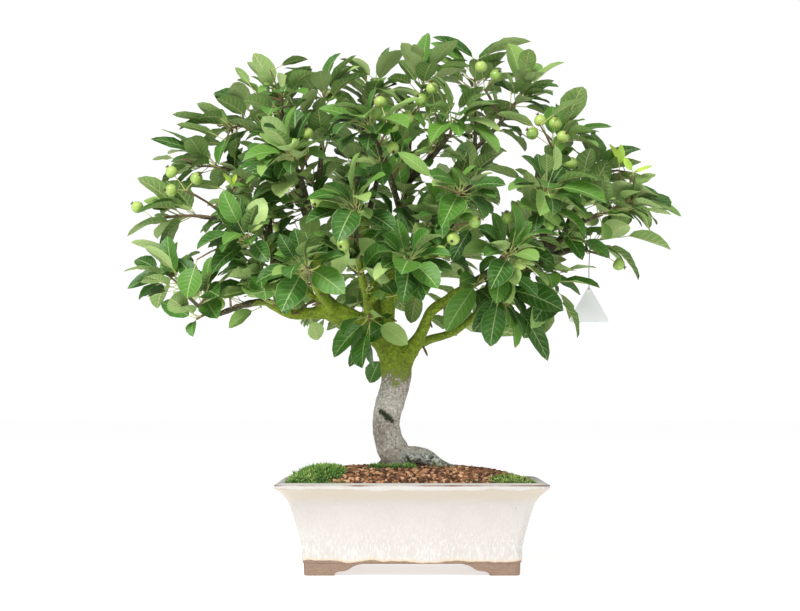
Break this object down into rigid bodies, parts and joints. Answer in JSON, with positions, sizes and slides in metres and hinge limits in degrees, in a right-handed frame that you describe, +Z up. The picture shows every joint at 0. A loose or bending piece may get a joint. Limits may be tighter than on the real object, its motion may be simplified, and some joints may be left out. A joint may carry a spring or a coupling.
{
  "type": "apple bonsai",
  "caption": "Crab apple bonsai: forked trunk with leafy sprays and small green fruit, rooted in mossy soil in a glazed rectangular pot with corner feet, and a blank tag on a thread.",
  "frame": {"origin": "middle of the box of the tree and pot, on the level that the pot's feet stand on", "axes": "+Z up; the pot's long side runs along X, and the front of the tree faces -Y"},
  "size_m": [0.8328, 0.565, 0.8131],
  "materials": {
    "glaze": "cream white glaze, glossy",
    "screen": "black plastic mesh",
    "soil": "baked clay grains, matt",
    "moss": "live moss",
    "bark": "smooth grey bark",
    "leaf": "green leaf on a woody twig",
    "fruit": "light green apple skin",
    "card": "smooth white card",
    "thread": "thin dark thread"
  },
  "bodies": {
    "root": {"pot": "glaze", "drain_screen_left": "screen", "drain_screen_right": "screen", "soil": "soil", "moss_left": "moss", "moss_right": "moss", "trunk": "bark", "leaf_spray_01": "leaf", "leaf_spray_02": "leaf", "leaf_spray_03": "leaf", "leaf_spray_04": "leaf", "leaf_spray_05": "leaf", "leaf_spray_06": "leaf", "leaf_spray_07": "leaf", "leaf_spray_08": "leaf", "leaf_spray_09": "leaf", "leaf_spray_10": "leaf", "leaf_spray_11": "leaf", "leaf_spray_12": "leaf", "leaf_spray_13": "leaf", "leaf_spray_14": "leaf", "leaf_spray_15": "leaf", "leaf_spray_16": "leaf", "leaf_spray_17": "leaf", "leaf_spray_18": "leaf", "leaf_spray_19": "leaf", "leaf_spray_20": "leaf", "leaf_spray_21": "leaf", "leaf_spray_22": "leaf", "leaf_spray_23": "leaf", "leaf_spray_24": "leaf", "leaf_spray_25": "leaf", "leaf_spray_26": "leaf", "leaf_spray_27": "leaf", "leaf_spray_28": "leaf", "leaf_spray_29": "leaf", "leaf_spray_30": "leaf", "leaf_spray_31": "leaf", "leaf_spray_32": "leaf", "leaf_spray_33": "leaf", "leaf_spray_34": "leaf", "leaf_spray_35": "leaf", "fruit_bunch_01": "fruit", "fruit_bunch_02": "fruit", "fruit_bunch_03": "fruit", "fruit_bunch_04": "fruit", "fruit_bunch_05": "fruit", "fruit_bunch_06": "fruit", "fruit_bunch_07": "fruit", "fruit_bunch_08": "fruit", "fruit_bunch_09": "fruit", "fruit_bunch_10": "fruit", "fruit_bunch_11": "fruit", "fruit_bunch_12": "fruit", "fruit_bunch_13": "fruit", "fruit_bunch_14": "fruit", "fruit_bunch_15": "fruit", "fruit_bunch_16": "fruit", "name_tag": "card", "tag_thread": "thread"}
  },
  "joints": []
}
